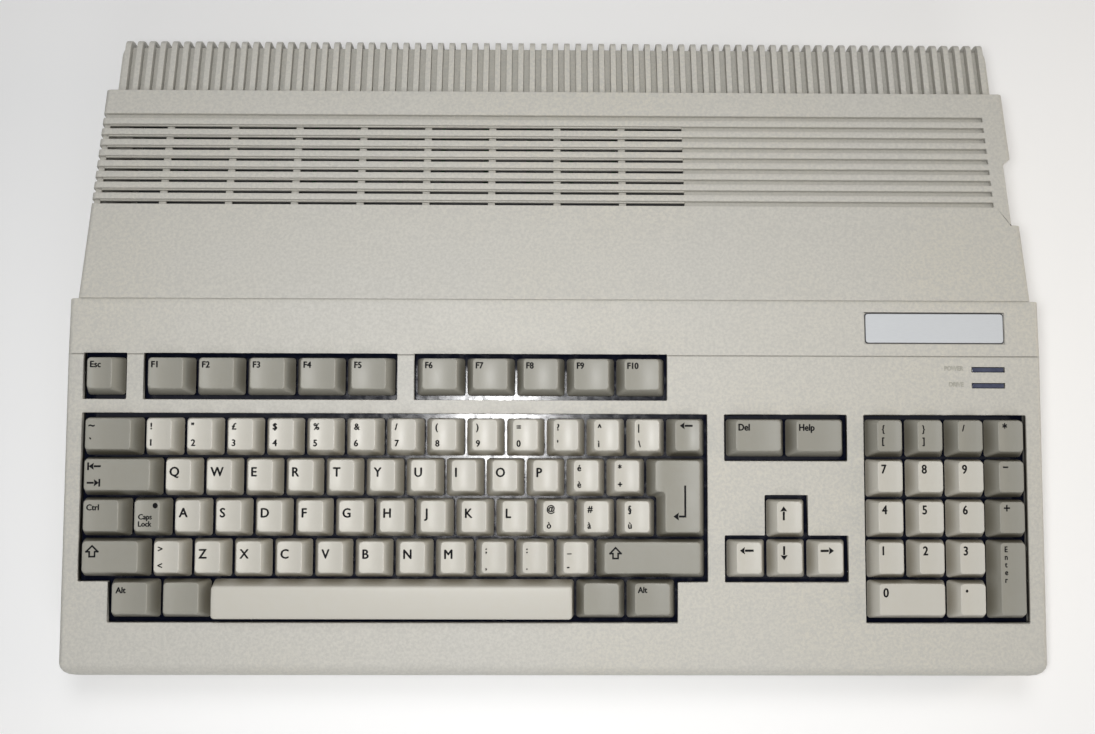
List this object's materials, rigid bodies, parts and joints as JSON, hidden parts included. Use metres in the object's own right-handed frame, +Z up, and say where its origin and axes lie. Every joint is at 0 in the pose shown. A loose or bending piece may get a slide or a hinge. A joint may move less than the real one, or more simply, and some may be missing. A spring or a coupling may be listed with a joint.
{
  "type": "vintage home computer",
  "caption": "Wedge-shaped home computer with a full keyboard that travels, ribbed and slotted case, sprung disk slot door, eject button, rear sockets and a pull-off side cover.",
  "frame": {"origin": "on the table under the middle of the case's bounding box", "axes": "+X to the right along the case's width, +Y to the rear with its sockets, +Z up"},
  "size_m": [0.466, 0.317, 0.0596],
  "materials": {
    "case_plastic": "fine spark-eroded texture, greige",
    "door_plastic": "smooth satin, greige",
    "light_key_plastic": "satin, worn shiny on top, warm light grey",
    "dark_key_plastic": "satin, warm mid grey",
    "plated_steel": "zinc-plated sheet",
    "connector_shell": "tin-plated, satin",
    "black_plastic": "moulded black nylon",
    "circuit_board": "green solder mask",
    "drive_steel": "zinc-plated sheet",
    "lamp_lens": "smoked clear, unlit"
  },
  "bodies": {
    "base": {"upper_housing": "case_plastic", "lower_housing": "case_plastic", "key_frame": "light_key_plastic", "keyboard_backplate": "plated_steel", "power_lamp": "lamp_lens", "drive_lamp": "lamp_lens", "main_board": "circuit_board", "emi_shield": "plated_steel", "disk_drive": "drive_steel", "memory_trapdoor": "case_plastic", "power_socket": "black_plastic", "joystick_port_1": "connector_shell", "joystick_port_2": "connector_shell", "serial_port": "connector_shell", "video_port": "connector_shell", "disk_port": "connector_shell", "parallel_port": "connector_shell", "audio_jacks": "connector_shell", "mono_video_jack": "connector_shell"},
    "key_escape": {"key_escape": "dark_key_plastic"},
    "key_f1": {"key_f1": "dark_key_plastic"},
    "key_f2": {"key_f2": "dark_key_plastic"},
    "key_f3": {"key_f3": "dark_key_plastic"},
    "key_f4": {"key_f4": "dark_key_plastic"},
    "key_f5": {"key_f5": "dark_key_plastic"},
    "key_f6": {"key_f6": "dark_key_plastic"},
    "key_f7": {"key_f7": "dark_key_plastic"},
    "key_f8": {"key_f8": "dark_key_plastic"},
    "key_f9": {"key_f9": "dark_key_plastic"},
    "key_f10": {"key_f10": "dark_key_plastic"},
    "key_grave": {"key_grave": "dark_key_plastic"},
    "key_backspace": {"key_backspace": "dark_key_plastic"},
    "key_tab": {"key_tab": "dark_key_plastic"},
    "key_return": {"key_return": "dark_key_plastic"},
    "key_control": {"key_control": "dark_key_plastic"},
    "key_caps_lock": {"key_caps_lock": "dark_key_plastic"},
    "key_left_shift": {"key_left_shift": "dark_key_plastic"},
    "key_right_shift": {"key_right_shift": "dark_key_plastic"},
    "key_left_alt": {"key_left_alt": "dark_key_plastic"},
    "key_left_command": {"key_left_command": "dark_key_plastic"},
    "key_right_command": {"key_right_command": "dark_key_plastic"},
    "key_right_alt": {"key_right_alt": "dark_key_plastic"},
    "key_delete": {"key_delete": "dark_key_plastic"},
    "key_help": {"key_help": "dark_key_plastic"},
    "keypad_left_bracket": {"keypad_left_bracket": "dark_key_plastic"},
    "keypad_right_bracket": {"keypad_right_bracket": "dark_key_plastic"},
    "keypad_slash": {"keypad_slash": "dark_key_plastic"},
    "keypad_star": {"keypad_star": "dark_key_plastic"},
    "keypad_minus": {"keypad_minus": "dark_key_plastic"},
    "keypad_plus": {"keypad_plus": "dark_key_plastic"},
    "keypad_enter": {"keypad_enter": "dark_key_plastic"},
    "key_space": {"key_space": "light_key_plastic"},
    "cursor_up": {"cursor_up": "light_key_plastic"},
    "cursor_left": {"cursor_left": "light_key_plastic"},
    "cursor_down": {"cursor_down": "light_key_plastic"},
    "cursor_right": {"cursor_right": "light_key_plastic"},
    "keypad_zero": {"keypad_zero": "light_key_plastic"},
    "disk_door": {"disk_door": "door_plastic"},
    "eject_button": {"eject_button": "door_plastic"},
    "expansion_cover": {"expansion_cover": "case_plastic"}
  },
  "joints": [
    {"name": "key_escape_press", "type": "slide", "parent": "base", "child": "key_escape", "axis": [0, 0.1857, -0.9826], "range_m": [0, 0.0036], "stiffness_N_per_m": 120, "springref_m": -0.002},
    {"name": "key_f1_press", "type": "slide", "parent": "base", "child": "key_f1", "axis": [0, 0.1857, -0.9826], "range_m": [0, 0.0036], "stiffness_N_per_m": 120, "springref_m": -0.002},
    {"name": "key_f2_press", "type": "slide", "parent": "base", "child": "key_f2", "axis": [0, 0.1857, -0.9826], "range_m": [0, 0.0036], "stiffness_N_per_m": 120, "springref_m": -0.002},
    {"name": "key_f3_press", "type": "slide", "parent": "base", "child": "key_f3", "axis": [0, 0.1857, -0.9826], "range_m": [0, 0.0036], "stiffness_N_per_m": 120, "springref_m": -0.002},
    {"name": "key_f4_press", "type": "slide", "parent": "base", "child": "key_f4", "axis": [0, 0.1857, -0.9826], "range_m": [0, 0.0036], "stiffness_N_per_m": 120, "springref_m": -0.002},
    {"name": "key_f5_press", "type": "slide", "parent": "base", "child": "key_f5", "axis": [0, 0.1857, -0.9826], "range_m": [0, 0.0036], "stiffness_N_per_m": 120, "springref_m": -0.002},
    {"name": "key_f6_press", "type": "slide", "parent": "base", "child": "key_f6", "axis": [0, 0.1857, -0.9826], "range_m": [0, 0.0036], "stiffness_N_per_m": 120, "springref_m": -0.002},
    {"name": "key_f7_press", "type": "slide", "parent": "base", "child": "key_f7", "axis": [0, 0.1857, -0.9826], "range_m": [0, 0.0036], "stiffness_N_per_m": 120, "springref_m": -0.002},
    {"name": "key_f8_press", "type": "slide", "parent": "base", "child": "key_f8", "axis": [0, 0.1857, -0.9826], "range_m": [0, 0.0036], "stiffness_N_per_m": 120, "springref_m": -0.002},
    {"name": "key_f9_press", "type": "slide", "parent": "base", "child": "key_f9", "axis": [0, 0.1857, -0.9826], "range_m": [0, 0.0036], "stiffness_N_per_m": 120, "springref_m": -0.002},
    {"name": "key_f10_press", "type": "slide", "parent": "base", "child": "key_f10", "axis": [0, 0.1857, -0.9826], "range_m": [0, 0.0036], "stiffness_N_per_m": 120, "springref_m": -0.002},
    {"name": "key_grave_press", "type": "slide", "parent": "base", "child": "key_grave", "axis": [0, 0.1857, -0.9826], "range_m": [0, 0.0036], "stiffness_N_per_m": 120, "springref_m": -0.002},
    {"name": "key_backspace_press", "type": "slide", "parent": "base", "child": "key_backspace", "axis": [0, 0.1857, -0.9826], "range_m": [0, 0.0036], "stiffness_N_per_m": 120, "springref_m": -0.002},
    {"name": "key_tab_press", "type": "slide", "parent": "base", "child": "key_tab", "axis": [0, 0.1857, -0.9826], "range_m": [0, 0.0036], "stiffness_N_per_m": 120, "springref_m": -0.002},
    {"name": "key_return_press", "type": "slide", "parent": "base", "child": "key_return", "axis": [0, 0.1857, -0.9826], "range_m": [0, 0.0036], "stiffness_N_per_m": 120, "springref_m": -0.002},
    {"name": "key_control_press", "type": "slide", "parent": "base", "child": "key_control", "axis": [0, 0.1857, -0.9826], "range_m": [0, 0.0036], "stiffness_N_per_m": 120, "springref_m": -0.002},
    {"name": "key_caps_lock_press", "type": "slide", "parent": "base", "child": "key_caps_lock", "axis": [0, 0.1857, -0.9826], "range_m": [0, 0.0036], "stiffness_N_per_m": 120, "springref_m": -0.002},
    {"name": "key_left_shift_press", "type": "slide", "parent": "base", "child": "key_left_shift", "axis": [0, 0.1857, -0.9826], "range_m": [0, 0.0036], "stiffness_N_per_m": 120, "springref_m": -0.002},
    {"name": "key_right_shift_press", "type": "slide", "parent": "base", "child": "key_right_shift", "axis": [0, 0.1857, -0.9826], "range_m": [0, 0.0036], "stiffness_N_per_m": 120, "springref_m": -0.002},
    {"name": "key_left_alt_press", "type": "slide", "parent": "base", "child": "key_left_alt", "axis": [0, 0.1857, -0.9826], "range_m": [0, 0.0036], "stiffness_N_per_m": 120, "springref_m": -0.002},
    {"name": "key_left_command_press", "type": "slide", "parent": "base", "child": "key_left_command", "axis": [0, 0.1857, -0.9826], "range_m": [0, 0.0036], "stiffness_N_per_m": 120, "springref_m": -0.002},
    {"name": "key_right_command_press", "type": "slide", "parent": "base", "child": "key_right_command", "axis": [0, 0.1857, -0.9826], "range_m": [0, 0.0036], "stiffness_N_per_m": 120, "springref_m": -0.002},
    {"name": "key_right_alt_press", "type": "slide", "parent": "base", "child": "key_right_alt", "axis": [0, 0.1857, -0.9826], "range_m": [0, 0.0036], "stiffness_N_per_m": 120, "springref_m": -0.002},
    {"name": "key_delete_press", "type": "slide", "parent": "base", "child": "key_delete", "axis": [0, 0.1857, -0.9826], "range_m": [0, 0.0036], "stiffness_N_per_m": 120, "springref_m": -0.002},
    {"name": "key_help_press", "type": "slide", "parent": "base", "child": "key_help", "axis": [0, 0.1857, -0.9826], "range_m": [0, 0.0036], "stiffness_N_per_m": 120, "springref_m": -0.002},
    {"name": "keypad_left_bracket_press", "type": "slide", "parent": "base", "child": "keypad_left_bracket", "axis": [0, 0.1857, -0.9826], "range_m": [0, 0.0036], "stiffness_N_per_m": 120, "springref_m": -0.002},
    {"name": "keypad_right_bracket_press", "type": "slide", "parent": "base", "child": "keypad_right_bracket", "axis": [0, 0.1857, -0.9826], "range_m": [0, 0.0036], "stiffness_N_per_m": 120, "springref_m": -0.002},
    {"name": "keypad_slash_press", "type": "slide", "parent": "base", "child": "keypad_slash", "axis": [0, 0.1857, -0.9826], "range_m": [0, 0.0036], "stiffness_N_per_m": 120, "springref_m": -0.002},
    {"name": "keypad_star_press", "type": "slide", "parent": "base", "child": "keypad_star", "axis": [0, 0.1857, -0.9826], "range_m": [0, 0.0036], "stiffness_N_per_m": 120, "springref_m": -0.002},
    {"name": "keypad_minus_press", "type": "slide", "parent": "base", "child": "keypad_minus", "axis": [0, 0.1857, -0.9826], "range_m": [0, 0.0036], "stiffness_N_per_m": 120, "springref_m": -0.002},
    {"name": "keypad_plus_press", "type": "slide", "parent": "base", "child": "keypad_plus", "axis": [0, 0.1857, -0.9826], "range_m": [0, 0.0036], "stiffness_N_per_m": 120, "springref_m": -0.002},
    {"name": "keypad_enter_press", "type": "slide", "parent": "base", "child": "keypad_enter", "axis": [0, 0.1857, -0.9826], "range_m": [0, 0.0036], "stiffness_N_per_m": 120, "springref_m": -0.002},
    {"name": "key_space_press", "type": "slide", "parent": "base", "child": "key_space", "axis": [0, 0.1857, -0.9826], "range_m": [0, 0.0036], "stiffness_N_per_m": 120, "springref_m": -0.002},
    {"name": "cursor_up_press", "type": "slide", "parent": "base", "child": "cursor_up", "axis": [0, 0.1857, -0.9826], "range_m": [0, 0.0036], "stiffness_N_per_m": 120, "springref_m": -0.002},
    {"name": "cursor_left_press", "type": "slide", "parent": "base", "child": "cursor_left", "axis": [0, 0.1857, -0.9826], "range_m": [0, 0.0036], "stiffness_N_per_m": 120, "springref_m": -0.002},
    {"name": "cursor_down_press", "type": "slide", "parent": "base", "child": "cursor_down", "axis": [0, 0.1857, -0.9826], "range_m": [0, 0.0036], "stiffness_N_per_m": 120, "springref_m": -0.002},
    {"name": "cursor_right_press", "type": "slide", "parent": "base", "child": "cursor_right", "axis": [0, 0.1857, -0.9826], "range_m": [0, 0.0036], "stiffness_N_per_m": 120, "springref_m": -0.002},
    {"name": "keypad_zero_press", "type": "slide", "parent": "base", "child": "keypad_zero", "axis": [0, 0.1857, -0.9826], "range_m": [0, 0.0036], "stiffness_N_per_m": 120, "springref_m": -0.002},
    {"name": "disk_door_swing", "type": "hinge", "parent": "base", "child": "disk_door", "pos_m": [0.2193, 0.07199, 0.03825], "axis": [0, 1, 0], "range_deg": [0, 85], "stiffness_Nm_per_rad": 0.002, "springref_deg": -20.05},
    {"name": "eject_button_press", "type": "slide", "parent": "base", "child": "eject_button", "axis": [-1, 0, 0], "range_m": [0, 0.004], "stiffness_N_per_m": 250, "springref_m": -0.001},
    {"name": "expansion_cover_pull", "type": "slide", "parent": "base", "child": "expansion_cover", "axis": [-1, 0, 0], "range_m": [0, 0.012]}
  ]
}
